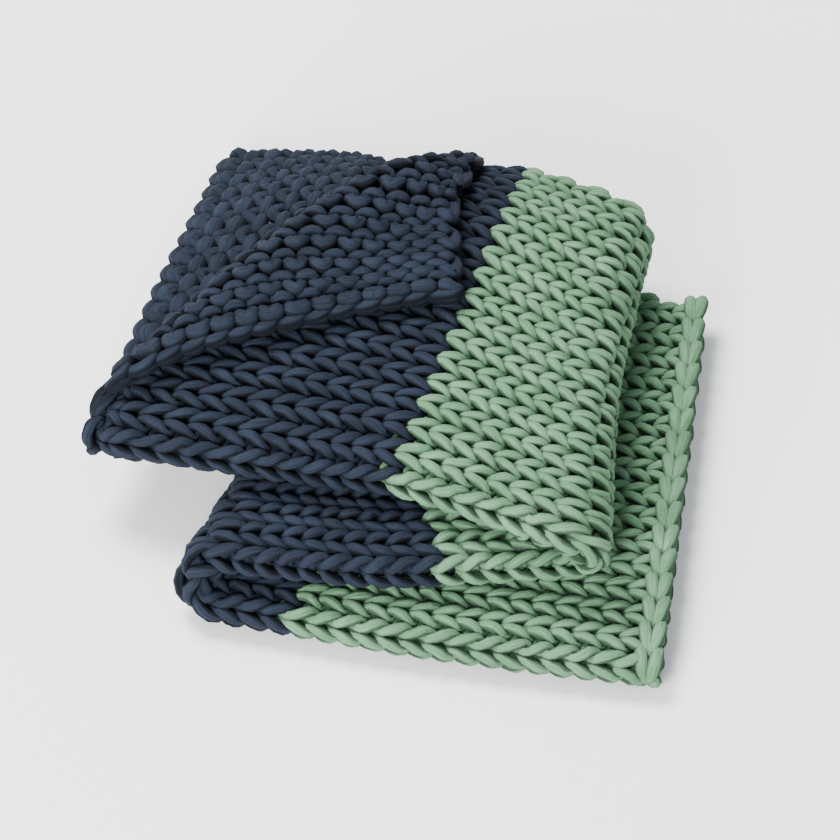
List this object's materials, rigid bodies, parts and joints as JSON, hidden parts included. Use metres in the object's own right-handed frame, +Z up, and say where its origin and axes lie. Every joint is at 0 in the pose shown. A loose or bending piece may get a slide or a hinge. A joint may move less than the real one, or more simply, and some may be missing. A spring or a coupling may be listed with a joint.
{
  "type": "folded knitted weighted blanket",
  "caption": "Thick hand-knitted weighted blanket in navy and sage green blocks, doubled, laid in a back-and-forth stack, one corner turned over.",
  "frame": {"origin": "under the middle of the folded stack's bounding box, on the surface that it lies on", "axes": "+Z up; the doubled fold faces -Y, the leaves run back and forth along X, and the turned corner is at -X +Y"},
  "size_m": [0.79, 0.8805, 0.2419],
  "materials": {
    "navy_yarn": "matt cotton jersey tube yarn",
    "sage_yarn": "matt cotton jersey tube yarn"
  },
  "bodies": {
    "root": {"navy_block_cast_on": "navy_yarn", "green_block_right_fold": "sage_yarn", "navy_block_left_fold": "navy_yarn", "green_block_bind_off": "sage_yarn"}
  },
  "joints": []
}
